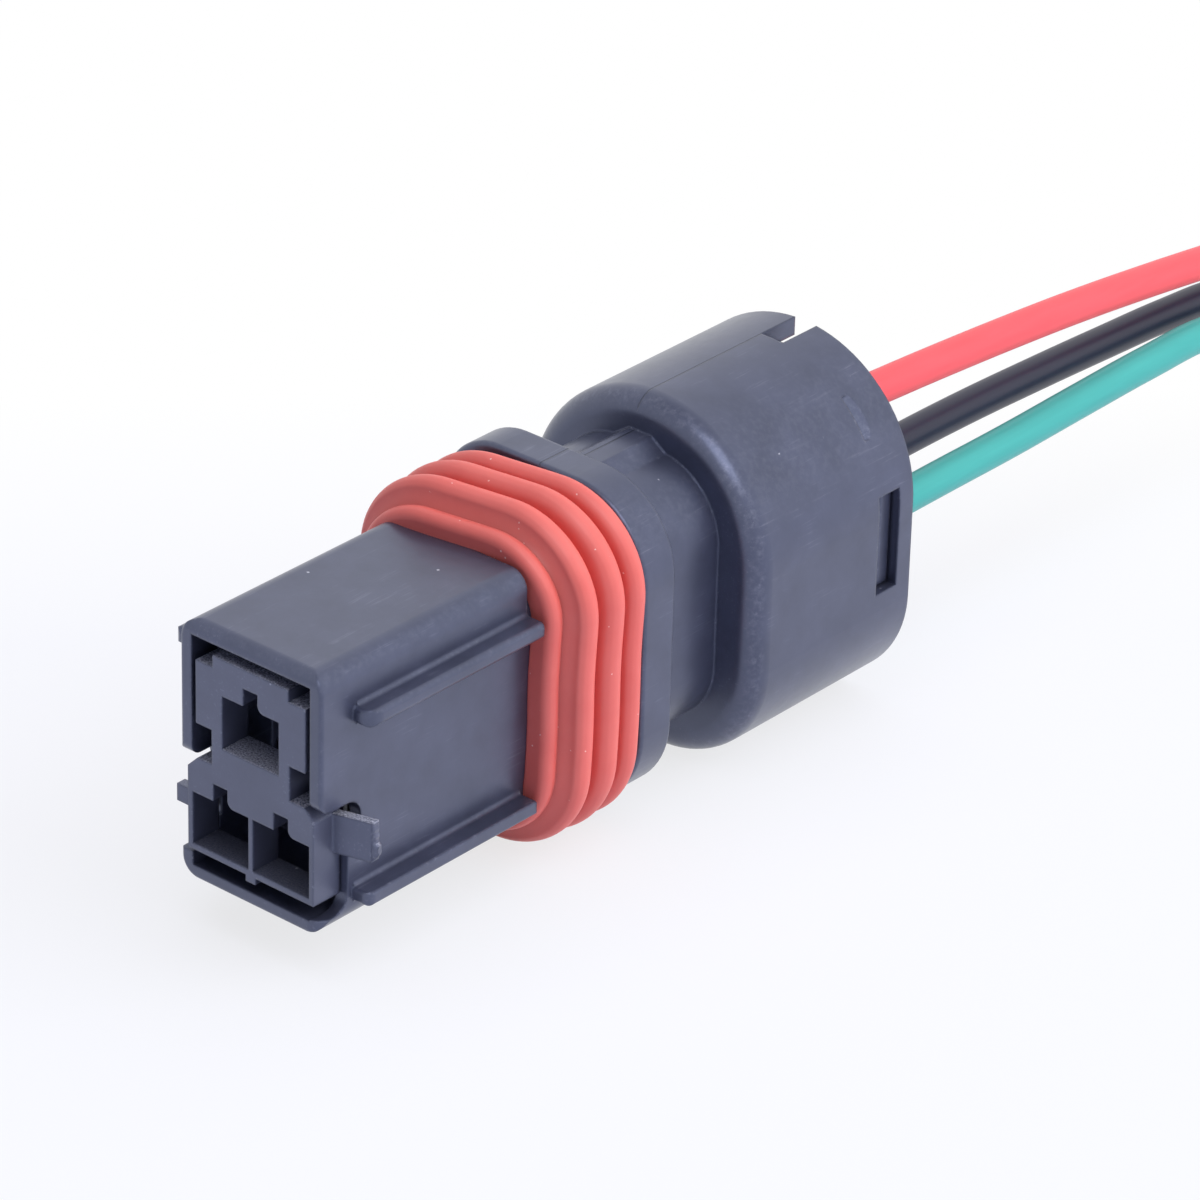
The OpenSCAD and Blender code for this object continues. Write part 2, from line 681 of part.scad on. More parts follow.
// Socket contact with its crimps, over the floor of its cavity
module contact(way) {
    wall = contact_t;
    grip_r = wire_d / 2 + 0.02;
    strip_w = 1.6;
    strip_z = wire_rise - grip_r - wall;
    color("#b9bcc2") place() translate([way[0], 0, way[1]]) {
        difference() {
            along(contact_y, contact_y + contact_len) translate([-contact_w / 2, spring_t])
                square([contact_w, contact_h]);
            along(contact_y - over, contact_y + contact_len + over)
                translate([wall - contact_w / 2, spring_t + wall])
                    square([contact_w - 2 * wall, contact_h - 2 * wall]);
        }
        rotate([90, 0, 90]) linear_extrude(strip_w, center = true) polygon([
            [contact_y + 1, spring_t + wall], [contact_y + contact_len, spring_t],
            [contact_y + contact_len, spring_t + wall], [contact_y + contact_len / 2, contact_h / 2],
            [contact_y + contact_len / 2, contact_h / 2 - wall]
        ]);
        rotate([90, 0, 90]) linear_extrude(strip_w, center = true) polygon([
            [contact_y + contact_len - wall, spring_t], [contact_y + contact_len, spring_t],
            [crimp_y, strip_z], [grip_y + grip_len, strip_z],
            [grip_y + grip_len, strip_z + wall], [crimp_y, strip_z + wall],
            [contact_y + contact_len, spring_t + wall], [contact_y + contact_len - wall, spring_t + wall]
        ]);
        translate([0, 0, wire_rise]) difference() {
            union() {
                along(crimp_y, crimp_y + crimp_len) {
                    circle(core_d / 2 + wall);
                    translate([-strip_w / 2, -grip_r - wall]) square([strip_w, grip_r]);
                }
                along(grip_y, grip_y + grip_len) circle(grip_r + wall);
            }
            along(crimp_y - over, crimp_y + crimp_len + over) circle(core_d / 2);
            along(grip_y - eps, grip_y + grip_len + over) circle(grip_r);
        }
    }
}

// Steel spring folded round the box of a contact
module spring(way) {
    start = contact_y + (contact_len - spring_len) / 2;
    color("#8f949b") place() translate([way[0], 0, way[1] + spring_t]) difference() {
        along(start, start + spring_len) translate([-contact_w / 2 - spring_t, -spring_t])
            square([contact_w + 2 * spring_t, contact_h + 2 * spring_t]);
        along(start - over, start + spring_len + over) translate([-contact_w / 2, 0])
            square([contact_w, contact_h]);
    }
}

// Bared copper strands in the crimp of a contact
module strands(way) {
    color("#c27b4a") place() translate([way[0], 0, way[1] + wire_rise])
        along(crimp_y - 0.4, wire_y) circle(core_d / 2);
}

module contact_top() { contact(ways[0]); }
module contact_left() { contact(ways[1]); }
module contact_right() { contact(ways[2]); }
module spring_top() { spring(ways[0]); }
module spring_left() { spring(ways[1]); }
module spring_right() { spring(ways[2]); }
module strands_top() { strands(ways[0]); }
module strands_left() { strands(ways[1]); }
module strands_right() { strands(ways[2]); }

// Holes for the three wires
module wire_holes(y0, y1, d) {
    for (way = ways) {
        translate([way[0], 0, way[1] + wire_rise]) along(y0, y1) circle(d / 2);
    }
}

module wire_seal() {
    lip_len = wire_seal_t / 7;
    color("#c9504a") place() difference() {
        union() {
            along(chamber_y, cover_y) shell_section(shell_wall + wire_seal_lip);
            for (i = [1 : 2 : 5]) {
                along(chamber_y + i * lip_len, chamber_y + (i + 1) * lip_len) shell_section(shell_wall + 0.02);
            }
        }
        wire_holes(chamber_y - over, cover_y + over, wire_d + 0.06);
    }
}

// Latch lug on the right-hand side of the cover, from above
module lug_outline() {
    root = shell_w / 2 - shell_wall - cover_gap - cover_wall / 2;
    tip = shell_w / 2 - lug_recess;
    y0 = window_y + lug_gap;
    y1 = window_y + window_len - lug_gap;
    polygon([[root, y0], [tip - 0.5, y0], [tip, y0 + 0.9], [tip, y1], [root, y1]]);
}

module rear_cover() {
    skirt_end = window_y + window_len + 0.2;
    outer = shell_wall + cover_gap;
    color("#2f3138") place() {
        difference() {
            along(cover_y, skirt_end) shell_section(outer);
            along(cover_y + cover_t, skirt_end + over) shell_section(outer + cover_wall);
            wire_holes(cover_y - over, cover_y + cover_t + over, wire_d + 2 * cover_hole_gap);
        }
        for (side = [0, 1]) {
            mirror([side, 0, 0]) translate([0, 0, window_z])
                linear_extrude(window_h - 2 * lug_gap, center = true) lug_outline();
        }
    }
}

// Route of one wire: straight through the housing, then free to the hank
function route(way, free) = concat(
    [for (y = [wire_y, chamber_y, body_len]) [way[0], y - body_len / 2, way[1] + wire_rise + shell_base]],
    free
);

function unit(v) = v / norm(v);

// Direction of a route at one of its points
function heading(points, i) = unit(points[min(i + 1, len(points) - 1)] - points[max(i - 1, 0)]);

// Ring of points round a route
function ring(points, i) =
    let (ahead = heading(points, i), side = unit(cross(ahead, [0, 0, 1])), top = cross(side, ahead))
    [for (k = [0 : cord_sides - 1])
        let (a = 360 * (k + 0.5) / cord_sides) points[i] + wire_d / 2 * (cos(a) * side + sin(a) * top)];

// Plain tube along a route
module cord(points) {
    n = len(points);
    s = cord_sides;
    walls = [for (i = [0 : n - 2], k = [0 : s - 1], t = [0, 1])
        let (a = i * s + k, b = i * s + (k + 1) % s)
        t == 0 ? [a, b, b + s] : [a, b + s, a + s]];
    caps = [[for (k = [s - 1 : -1 : 0]) k], [for (k = [0 : s - 1]) (n - 1) * s + k]];
    polyhedron([for (i = [0 : n - 1]) each ring(points, i)], concat(walls, caps));
}

module red_wire() { color("#e8464c") cord(route(ways[0], free_red)); }
module black_wire() { color("#2c2c33") cord(route(ways[1], free_black)); }
module green_wire() { color("#2fa894") cord(route(ways[2], free_green)); }

// Outline of the tied hank: one turn and the start of the next, lying inside it
module hank_outline() {
    half = hank_x + wire_d / 2;
    shift = wire_d / 2;
    hole = hank_x - wire_d;
    difference() {
        union() {
            translate([0, hank_far]) circle(half);
            translate([-shift, hank_near]) circle(half - shift);
            translate([-half, hank_near]) square([2 * half, hank_far - hank_near]);
        }
        for (y = [hank_near, hank_far]) {
            translate([-shift, y]) circle(hole);
        }
        translate([-shift - hole, hank_near]) square([2 * hole, hank_far - hank_near]);
    }
}

// One layer of the hank for each wire, over the strap of the tie
module hank(layer) {
    translate([0, 0, tie_t + layer * wire_d]) linear_extrude(wire_d) hank_outline();
}

module red_hank() { color("#e8464c") hank(2); }
module black_hank() { color("#2c2c33") hank(1); }
module green_hank() { color("#2fa894") hank(0); }

// Strap round the two runs on the right-hand side of the hank
module hank_tie() {
    w = 2 * wire_d + 2 * tie_gap;
    h = 3 * wire_d + tie_gap;
    mid = (hank_near + hank_far) / 2;
    head = [3, tie_w + 0.8, 2.2];
    color("#26272c") translate([hank_x - wire_d / 2, 0, tie_t]) {
        difference() {
            along(mid - tie_w / 2, mid + tie_w / 2) translate([-w / 2 - tie_t, -tie_t])
                square([w + 2 * tie_t, h + 2 * tie_t]);
            along(mid - tie_w, mid + tie_w) translate([-w / 2, 0]) square([w, h]);
        }
        translate([-head[0] / 2, mid - head[1] / 2, h + tie_t - eps]) cube(head);
    }
}

housing();
terminal_lock();
interface_seal();
contact_top();
contact_left();
contact_right();
spring_top();
spring_left();
spring_right();
strands_top();
strands_left();
strands_right();
wire_seal();
rear_cover();
red_wire();
black_wire();
green_wire();
red_hank();
black_hank();
green_hank();
hank_tie();
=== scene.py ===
"""Sealed three-way plug connector on a short pigtail, dressed for the render."""
import math
import bmesh
import bpy
from mathutils import Matrix, Vector


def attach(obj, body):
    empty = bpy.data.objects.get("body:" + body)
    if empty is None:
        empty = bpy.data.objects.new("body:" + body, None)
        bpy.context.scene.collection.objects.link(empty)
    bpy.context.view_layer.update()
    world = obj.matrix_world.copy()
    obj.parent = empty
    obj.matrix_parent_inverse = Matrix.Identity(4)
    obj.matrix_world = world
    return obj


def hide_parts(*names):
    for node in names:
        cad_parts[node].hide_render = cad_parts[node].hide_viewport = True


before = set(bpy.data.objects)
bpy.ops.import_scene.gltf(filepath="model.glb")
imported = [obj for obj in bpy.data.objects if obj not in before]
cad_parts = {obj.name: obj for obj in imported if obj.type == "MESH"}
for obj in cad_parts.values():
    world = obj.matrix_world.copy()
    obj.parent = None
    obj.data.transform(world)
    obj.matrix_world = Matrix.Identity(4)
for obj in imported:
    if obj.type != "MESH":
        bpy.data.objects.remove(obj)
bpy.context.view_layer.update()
scene = bpy.context.scene
MM = 0.001


# Helpers

def srgb(code):
    """Linear colour of an sRGB hex code."""
    parts = [int(code[i:i + 2], 16) / 255 for i in (1, 3, 5)]
    linear = [c / 12.92 if c <= 0.04045 else ((c + 0.055) / 1.055) ** 2.4 for c in parts]
    return linear + [1.0]


def add(tree, kind, inputs=None, **settings):
    """Adds a node. Settings are its properties, and an input takes a value, a socket, or a node,
    which gives the first output that it has in use."""
    made = tree.nodes.new(kind)
    for name, value in settings.items():
        setattr(made, name, value)
    for name, value in (inputs or {}).items():
        if isinstance(value, bpy.types.Node):
            value = next(out for out in value.outputs if out.enabled)
        if isinstance(value, bpy.types.NodeSocket):
            tree.links.new(value, made.inputs[name])
        else:
            made.inputs[name].default_value = value
    return made


def closed_skins(name, stacks):
    """Mesh of closed skins: a stack is a list of rows of points in mm, joined row to row and closed
    at both ends."""
    mesh = bpy.data.meshes.new(name)
    work = bmesh.new()
    for stack in stacks:
        rows = [[work.verts.new(Vector(point) * MM) for point in row] for row in stack]
        for low, high in zip(rows, rows[1:]):
            for k in range(len(low)):
                following = (k + 1) % len(low)
                work.faces.new((low[k], low[following], high[following], high[k]))
        work.faces.new(rows[0])
        work.faces.new(rows[-1])
    bmesh.ops.recalc_face_normals(work, faces=work.faces)
    work.to_mesh(mesh)
    work.free()
    return mesh


def place_piece(name, mesh_or_curve, material, body):
    """Puts a finished mesh or curve in the scene as a piece that rides on a body."""
    piece = bpy.data.objects.new(name, mesh_or_curve)
    scene.collection.objects.link(piece)
    mesh_or_curve.materials.clear()
    mesh_or_curve.materials.append(material)
    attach(piece, body)
    return piece


# Camera at the photograph's angle: the mating face to the left, seen from above

AZIMUTH = math.radians(40.08)
ELEVATION = math.radians(28.51)
ROLL = math.radians(1.59)
CAMERA_TARGET = Vector((6.791, -1.7, 17.331)) * MM
CAMERA_DISTANCE = 388.43 * MM
CAMERA_LENS = 189.62
CAMERA_SENSOR = 36

back = Vector((
    math.sin(AZIMUTH) * math.cos(ELEVATION),
    -math.cos(AZIMUTH) * math.cos(ELEVATION),
    math.sin(ELEVATION),
))
level = Vector((math.cos(AZIMUTH), math.sin(AZIMUTH), 0))
upright = back.cross(level)
right = level * math.cos(ROLL) + upright * math.sin(ROLL)
up = upright * math.cos(ROLL) - level * math.sin(ROLL)
turn = Matrix((right, up, back)).transposed().to_4x4()

lens = bpy.data.cameras.new("camera")
lens.lens = CAMERA_LENS
lens.sensor_width = CAMERA_SENSOR
lens.clip_start = 0.01
lens.clip_end = 20
camera = bpy.data.objects.new("camera", lens)
camera.matrix_world = Matrix.Translation(CAMERA_TARGET + back * CAMERA_DISTANCE) @ turn
scene.collection.objects.link(camera)
scene.camera = camera


# Materials: sizes of patterns and depths of relief are in mm

# How far light sees an edge as rounded, and how far in from an edge it is rubbed
EDGE_ROUNDING = 0.26
RUB_REACH = 0.3
# A scuff's size in x, y and z
SCUFF = (0.2, 5.0, 0.2)
SEAM_COLOUR = "#0c0d12"
SEAM_DEPTH = 0.06
# Specks of dust: colour, spacing, and how far their outline is torn
NYLON_DUST_COLOUR = "#d6d6de"
NYLON_DUST_SPACING = 1.9
NYLON_DUST_RAGGED = 0.14
RUBBER_DUST_COLOUR = "#f6d9d2"
RUBBER_DUST_SPACING = 0.7
RUBBER_DUST_RAGGED = 0.16
# Heights between which the painted light on the floors of openings comes in, and the share of it
# that the lower, shaded floors keep
PAINTED_LIGHT_LOW_Z = 8
PAINTED_LIGHT_HIGH_Z = 11
PAINTED_LIGHT_LOW_SHARE = 0.2


def new_material(name):
    """A material with nothing in it yet, and its tree to fill."""
    material = bpy.data.materials.new(name)
    material.use_nodes = True
    material.node_tree.nodes.clear()
    return material, material.node_tree


def object_coords(tree):
    """Object coordinates in millimetres, so that a pattern's scale is one over its size in mm."""
    place = add(tree, "ShaderNodeTexCoord").outputs["Object"]
    return add(tree, "ShaderNodeVectorMath", {0: place, 1: (1 / MM,) * 3}, operation="MULTIPLY")


def moulded_nylon(
    name, dark, pale, roughness, wear_and_highlight, grain_depth=0.003, floor=None, seam_x=None, painted_highlight_rim_y=None,
):
    """Glass-filled nylon, injection moulded: a dark satin skin with a fine grain, mottled on its
    roundings, with pale flecks on rubbed edges, faint scuffs along the piece and specks of dust.
    Floors of openings may be grained and painted paler, as painted light, with less of it on the
    lower ones as painted shade; a parting line may run along the top; and the front rounding of
    what lies behind a place may get a speckled painted highlight, partly wear."""
    material, tree = new_material(name)
    mm = object_coords(tree)
    spot = add(tree, "ShaderNodeSeparateXYZ", {0: mm}).outputs
    normal = add(tree, "ShaderNodeTexCoord").outputs["Normal"]
    facing = add(tree, "ShaderNodeSeparateXYZ", {0: normal}).outputs
    drawn = add(tree, "ShaderNodeMapping", {"Vector": mm, "Scale": [1 / size for size in SCUFF]})
    # A real mould's grain is under 0.1 mm: it and the grit are drawn coarser, so that they show
    cloud, rub, mottle, grain, grit, streak = [
        add(tree, "ShaderNodeTexNoise", {
            "Vector": vector, "Scale": 1 / size, "Detail": detail, "Roughness": 0.65,
        })
        for size, detail, vector in (
            (4.0, 4, mm), (0.9, 5, mm), (0.4, 5, mm), (0.22, 3, mm), (0.12, 2, mm), (1.0, 3, drawn),
        )
    ]

    # Roundings face no axis squarely, and near an edge a widely rounded normal leaves the true one
    lengths = add(tree, "ShaderNodeVectorMath", {0: normal}, operation="ABSOLUTE")
    sizes = add(tree, "ShaderNodeSeparateXYZ", {0: lengths}).outputs
    flattest = add(tree, "ShaderNodeMath", {0: sizes["X"], 1: sizes["Y"]}, operation="MAXIMUM")
    squarest = add(tree, "ShaderNodeMath", {0: flattest, 1: sizes["Z"]}, operation="MAXIMUM")
    wide = add(tree, "ShaderNodeBevel", {"Radius": RUB_REACH * MM}, samples=4)
    true_normal = add(tree, "ShaderNodeNewGeometry").outputs["Normal"]
    off_edge = add(
        tree, "ShaderNodeVectorMath", {0: wide, 1: true_normal}, operation="DOT_PRODUCT",
    )
    torn = add(tree, "ShaderNodeVectorMath", {
        0: grit.outputs["Color"], 1: (NYLON_DUST_RAGGED,) * 3, 2: mm,
    }, operation="MULTIPLY_ADD")
    cells = add(tree, "ShaderNodeTexVoronoi", {"Vector": torn, "Scale": 1 / NYLON_DUST_SPACING})
    pick = add(tree, "ShaderNodeSeparateColor", {"Color": cells.outputs["Color"]}).outputs

    # Layers over the skin: colour, strength, and the values whose ranges say where the layer lies
    layers = {
        "mottle": (wear_and_highlight, 0.06, [(squarest, 0.98, 0.85), (mottle, 0.45, 0.8)]),
        "scuffs": (wear_and_highlight, 0.16, [(streak, 0.58, 0.75), (cloud, 0.48, 0.62)]),
        "flecks": (wear_and_highlight, 0.6, [(off_edge, 0.99, 0.85), (mottle, 0.56, 0.68), (rub, 0.42, 0.6)]),
        "dust": (NYLON_DUST_COLOUR, 0.7, [(cells, 0.06, 0.03), (pick["Red"], 0.86, 0.861)]),
    }
    # Painted light: upward floors of openings are grained and paler, and the lower ones keep only a
    # share of it, as painted shade
    if floor:
        painted_light_share = add(tree, "ShaderNodeMapRange", {
            "Value": spot["Z"], "From Min": PAINTED_LIGHT_LOW_Z, "From Max": PAINTED_LIGHT_HIGH_Z,
            "To Min": PAINTED_LIGHT_LOW_SHARE,
        })
        layers["floor"] = (floor, 1, [(facing["Z"], 0.7, 0.9), (grit, 0.36, 0.64), (painted_light_share, 0, 1)])
    # Painted highlight: the forward-facing front rounding behind the given y is speckled pale in
    # the wear colour, partly wear
    if painted_highlight_rim_y is not None:
        layers["rim"] = (wear_and_highlight, 0.13, [
            (facing["Y"], -0.2, -0.45), (facing["Y"], -0.9, -0.7),
            (spot["Y"], painted_highlight_rim_y, painted_highlight_rim_y + 0.1), (mottle, 0.42, 0.7), (rub, 0.4, 0.6),
        ])
    if seam_x is not None:
        aside = add(tree, "ShaderNodeMath", {0: spot["X"], 1: seam_x}, operation="SUBTRACT")
        off_seam = add(tree, "ShaderNodeMath", {0: aside}, operation="ABSOLUTE")
        layers["seam"] = (SEAM_COLOUR, 1, [
            (off_seam, 0.07, 0.035), (facing["Z"], 0.3, 0.5), (spot["Y"], -1, -0.9),
        ])

    skin = add(tree, "ShaderNodeMix", {
        "Factor": cloud, "A": srgb(dark), "B": srgb(pale),
    }, data_type="RGBA")
    covers = {}
    for layer, (colour, strength, limits) in layers.items():
        cover = strength
        for value, start, end in limits:
            share = add(tree, "ShaderNodeMapRange", {
                "Value": value, "From Min": start, "From Max": end,
            })
            cover = add(tree, "ShaderNodeMath", {0: cover, 1: share}, operation="MULTIPLY")
        skin = add(tree, "ShaderNodeMix", {
            "Factor": cover, "A": skin, "B": srgb(colour),
        }, data_type="RGBA")
        covers[layer] = cover
    relief = add(tree, "ShaderNodeMath", {0: grain, 1: grain_depth}, operation="MULTIPLY")
    if "seam" in covers:
        relief = add(tree, "ShaderNodeMath", {
            0: covers["seam"], 1: -SEAM_DEPTH, 2: relief,
        }, operation="MULTIPLY_ADD")

    gloss = add(tree, "ShaderNodeMapRange", {
        "Value": rub, "To Min": roughness - 0.05, "To Max": roughness + 0.07,
    })
    bump = add(tree, "ShaderNodeBump", {"Height": relief, "Strength": 1.0, "Distance": MM})
    rounded = add(
        tree, "ShaderNodeBevel", {"Radius": EDGE_ROUNDING * MM, "Normal": bump}, samples=4,
    )
    shader = add(tree, "ShaderNodeBsdfPrincipled", {
        "Base Color": skin, "Roughness": gloss, "Normal": rounded,
        "IOR": 1.58, "Specular IOR Level": 1.0, "Specular Tint": srgb("#c4d1ff"),
        "Coat Weight": 0.35, "Coat Roughness": 0.35, "Coat IOR": 1.5,
    })
    add(tree, "ShaderNodeOutputMaterial", {"Surface": shader})
    return material


def silicone(name, deep, light):
    """Moulded silicone rubber: soft, slightly translucent, with a dull bloom and clinging dust."""
    material, tree = new_material(name)
    mm = object_coords(tree)
    # Real rubber has a finer grain: it is drawn at 0.12 mm, so that it shows
    bloom, ragged, grain = [
        add(tree, "ShaderNodeTexNoise", {
            "Vector": mm, "Scale": 1 / size, "Detail": detail, "Roughness": rough,
        })
        for size, detail, rough in ((2.5, 4, 0.6), (0.15, 2, 0.5), (0.12, 3, 0.5))
    ]
    skin = add(tree, "ShaderNodeMix", {
        "Factor": bloom, "A": srgb(deep), "B": srgb(light),
    }, data_type="RGBA")
    torn = add(tree, "ShaderNodeVectorMath", {
        0: ragged.outputs["Color"], 1: (RUBBER_DUST_RAGGED,) * 3, 2: mm,
    }, operation="MULTIPLY_ADD")
    cells = add(tree, "ShaderNodeTexVoronoi", {"Vector": torn, "Scale": 1 / RUBBER_DUST_SPACING})
    pick = add(tree, "ShaderNodeSeparateColor", {"Color": cells.outputs["Color"]}).outputs
    speck = add(tree, "ShaderNodeMapRange", {"Value": cells, "From Min": 0.1, "From Max": 0.05})
    chosen = add(tree, "ShaderNodeMath", {0: pick["Green"], 1: 0.72}, operation="GREATER_THAN")
    dust = add(tree, "ShaderNodeMath", {0: speck, 1: chosen}, operation="MULTIPLY")
    faint = add(tree, "ShaderNodeMath", {0: dust, 1: 0.75}, operation="MULTIPLY")
    dusty = add(tree, "ShaderNodeMix", {
        "Factor": faint, "A": skin, "B": srgb(RUBBER_DUST_COLOUR),
    }, data_type="RGBA")
    bump = add(tree, "ShaderNodeBump", {"Height": grain, "Strength": 0.3, "Distance": 0.01 * MM})
    shader = add(tree, "ShaderNodeBsdfPrincipled", {
        "Base Color": dusty, "Normal": bump,
        "Roughness": 0.45, "IOR": 1.41, "Specular IOR Level": 0.6, "Subsurface Weight": 0.05,
        "Subsurface Radius": (0.5 * MM, 0.2 * MM, 0.1 * MM), "Subsurface Scale": 1.0,
    })
    add(tree, "ShaderNodeOutputMaterial", {"Surface": shader})
    return material


def streaked(name, deep, light, line, run, detail, gloss, strength, depth, finish):
    """Material whose colour, gloss and relief follow faint lines along the piece. It is given how
    far apart they are and how far they run, its smoothest and roughest gloss, and its relief."""
    material, tree = new_material(name)
    mm = object_coords(tree)
    drawn = add(tree, "ShaderNodeMapping", {"Vector": mm, "Scale": (1 / line, 1 / run, 1 / line)})
    lines = add(tree, "ShaderNodeTexNoise", {"Vector": drawn, "Scale": 1, "Detail": detail})
    skin = add(tree, "ShaderNodeMix", {
        "Factor": lines, "A": srgb(deep), "B": srgb(light),
    }, data_type="RGBA")
    smooth, rough = gloss
    shine = add(tree, "ShaderNodeMapRange", {"Value": lines, "To Min": smooth, "To Max": rough})
    bump = add(tree, "ShaderNodeBump", {
        "Height": lines, "Strength": strength, "Distance": depth * MM,
    })
    shader = add(tree, "ShaderNodeBsdfPrincipled", {
        "Base Color": skin, "Roughness": shine, "Normal": bump, **finish,
    })
    add(tree, "ShaderNodeOutputMaterial", {"Surface": shader})
    return material


def extruded_pvc(name, deep, light):
    """PVC wire insulation, extruded: even colour, a soft gloss and faint marks along its length."""
    return streaked(
        name, deep, light, line=0.5, run=9.0, detail=4, gloss=(0.32, 0.46),
        strength=0.2, depth=0.02, finish={"IOR": 1.5},
    )


def rolled_metal(name, deep, light, roughness, line):
    """Thin rolled strip or drawn strand: bright metal with fine lines along the rolling. Real lines
    are about 0.01 mm apart, and these are drawn coarser, so that close views show them."""
    return streaked(
        name, deep, light, line, run=4.0, detail=3, gloss=(roughness - 0.08, roughness + 0.1),
        strength=0.25, depth=0.01, finish={"Metallic": 1},
    )


# Pale colour of wear on edges, also used for the painted highlight on the shell's front rounding
WEAR_AND_HIGHLIGHT_NYLON = "#b8bac6"
# The shell's front rounding behind y = 7 mm gets a speckled painted highlight
housing_nylon = moulded_nylon(
    "satin moulded nylon", "#1b1d27", "#444759", roughness=0.31, wear_and_highlight=WEAR_AND_HIGHLIGHT_NYLON,
    seam_x=-0.47, painted_highlight_rim_y=7.0,
)
# The floors of the lock's openings get #bfc1ce as painted light
lock_nylon = moulded_nylon(
    "grained moulded nylon", "#2f313e", "#4f5263", roughness=0.36, wear_and_highlight=WEAR_AND_HIGHLIGHT_NYLON,
    grain_depth=0.005, floor="#bfc1ce",
)
tie_nylon = moulded_nylon(
    "moulded tie nylon", "#23252c", "#2c2e36", roughness=0.4, wear_and_highlight="#6d6f78",
)
red_silicone = silicone("moulded red silicone", "#da625a", "#e37168")
red_pvc = extruded_pvc("extruded red insulation", "#ec4a50", "#f4585e")
black_pvc = extruded_pvc("extruded black insulation", "#232536", "#2d2f42")
green_pvc = extruded_pvc("extruded green insulation", "#319c95", "#3eaca3")
tinned_strip = rolled_metal(
    "tin plated rolled strip", "#b4b6ba", "#d2d3d5", roughness=0.35, line=0.05,
)
spring_steel = rolled_metal(
    "bright rolled spring steel", "#8e9196", "#b3b6ba", roughness=0.3, line=0.04,
)
drawn_copper = rolled_metal(
    "drawn copper strand", "#b06a42", "#d08a5c", roughness=0.35, line=0.08,
)


# Wires, in mm: one curve each, from its crimp through the housing and along to its end in the hank

WIRE_D = 2.4
STRIP_LENGTH = 5
STRAIGHT_Y = (-3.8, 2, 7, 11.5, 16, 20.5, 25.7)
TOP_WIRE_Z = 16.6
LOW_WIRE_Z = 9.05
LOW_WIRE_X = 2.5
# The hank: half its width, the middles of its folds, points of its runs, and the tie under it
HANK_X = 8.4
HANK_NEAR = 104
HANK_FAR = 119
HANK_MID = (HANK_NEAR + HANK_FAR) / 2
HANK_LAST = HANK_NEAR + 4
TIE_T = 0.5
FOLD_STEPS = 10
FOLD = [math.pi * i / FOLD_STEPS for i in range(FOLD_STEPS + 1)]
# The bared end: strands of copper, seven to a lead, that start a little inside the insulation
STRAND_D = 0.42
STRANDS = 7
STRAND_SIDES = 8
STRAND_ROWS = 6
STRAND_TWIST = 0.25
STRAND_HIDDEN = 0.3
# Ways of the wires between the shell and the hank
FREE_RED = [
    (0, 31, 16.7), (0, 36, 16.45), (0, 42, 16.05), (0, 49, 15.5), (0, 56, 14.85), (0, 63, 14.05),
    (0, 70, 13.15), (0.1, 75, 12.5), (0.9, 80, 11.7), (2.5, 85, 10.6), (4.7, 90, 9), (6.9, 95, 7.5),
    (8.1, 99.5, 6.7), (8.4, 102, 6.5), (8.4, 104, 6.5),
]
FREE_BLACK = [
    (-2.45, 31, 9.45), (-2.2, 38, 9.75), (-2, 46, 9.85), (-1.75, 54, 9.75), (-1.55, 62, 9.5),
    (-1.4, 69, 9.2), (-1.1, 75, 8.8), (-0.2, 80.5, 8), (1.7, 86, 6.7), (4.3, 91.5, 5.4),
    (6.9, 96.5, 4.5), (8.1, 100, 4.15), (8.4, 102.5, 4.1), (8.4, 104, 4.1),
]
FREE_GREEN = [
    (2.45, 31, 9.15), (2.4, 38, 9.15), (2.3, 46, 9.05), (2.2, 54, 9.1), (2.15, 62, 9.15),
    (2.1, 69, 8.95), (2.5, 75, 8), (3.4, 80, 6.2), (4.8, 85.5, 4.2), (6.4, 91, 2.7), (7.6, 96, 2),
    (8.2, 100, 1.75), (8.4, 102, 1.7), (8.4, 104, 1.7),
]


def hank_route(layer):
    """Centre of a wire in its layer of the hank: out, round, back, round again and along inside."""
    z = TIE_T + (layer + 0.5) * WIRE_D
    shift = WIRE_D / 2
    inner = HANK_X - shift
    far = [(HANK_X * math.cos(a), HANK_FAR + HANK_X * math.sin(a), z) for a in FOLD]
    near = [(-shift - inner * math.cos(a), HANK_NEAR - inner * math.sin(a), z) for a in FOLD]
    last = [(HANK_X - WIRE_D, y, z) for y in (HANK_LAST, HANK_MID)]
    return [(HANK_X, HANK_MID, z)] + far + [(-HANK_X, HANK_MID, z)] + near + last


def bared_end(name, start):
    """Stripped end of a lead: a ring of twisted copper strands round one in the middle."""
    strands = []
    for i in range(STRANDS):
        ring = 0 if i == 0 else STRAND_D
        rows = []
        for step in range(STRAND_ROWS):
            t = step / (STRAND_ROWS - 1)
            a = math.tau * (i / (STRANDS - 1) + STRAND_TWIST * t)
            middle = start + Vector((
                ring * math.cos(a), STRIP_LENGTH * t - STRAND_HIDDEN, ring * math.sin(a),
            ))
            rows.append([
                middle + STRAND_D / 2 * Vector((math.cos(b), 0, math.sin(b)))
                for b in (math.tau * k / STRAND_SIDES for k in range(STRAND_SIDES))
            ])
        strands.append(rows)
    return place_piece(name, closed_skins(name, strands), drawn_copper, "body")


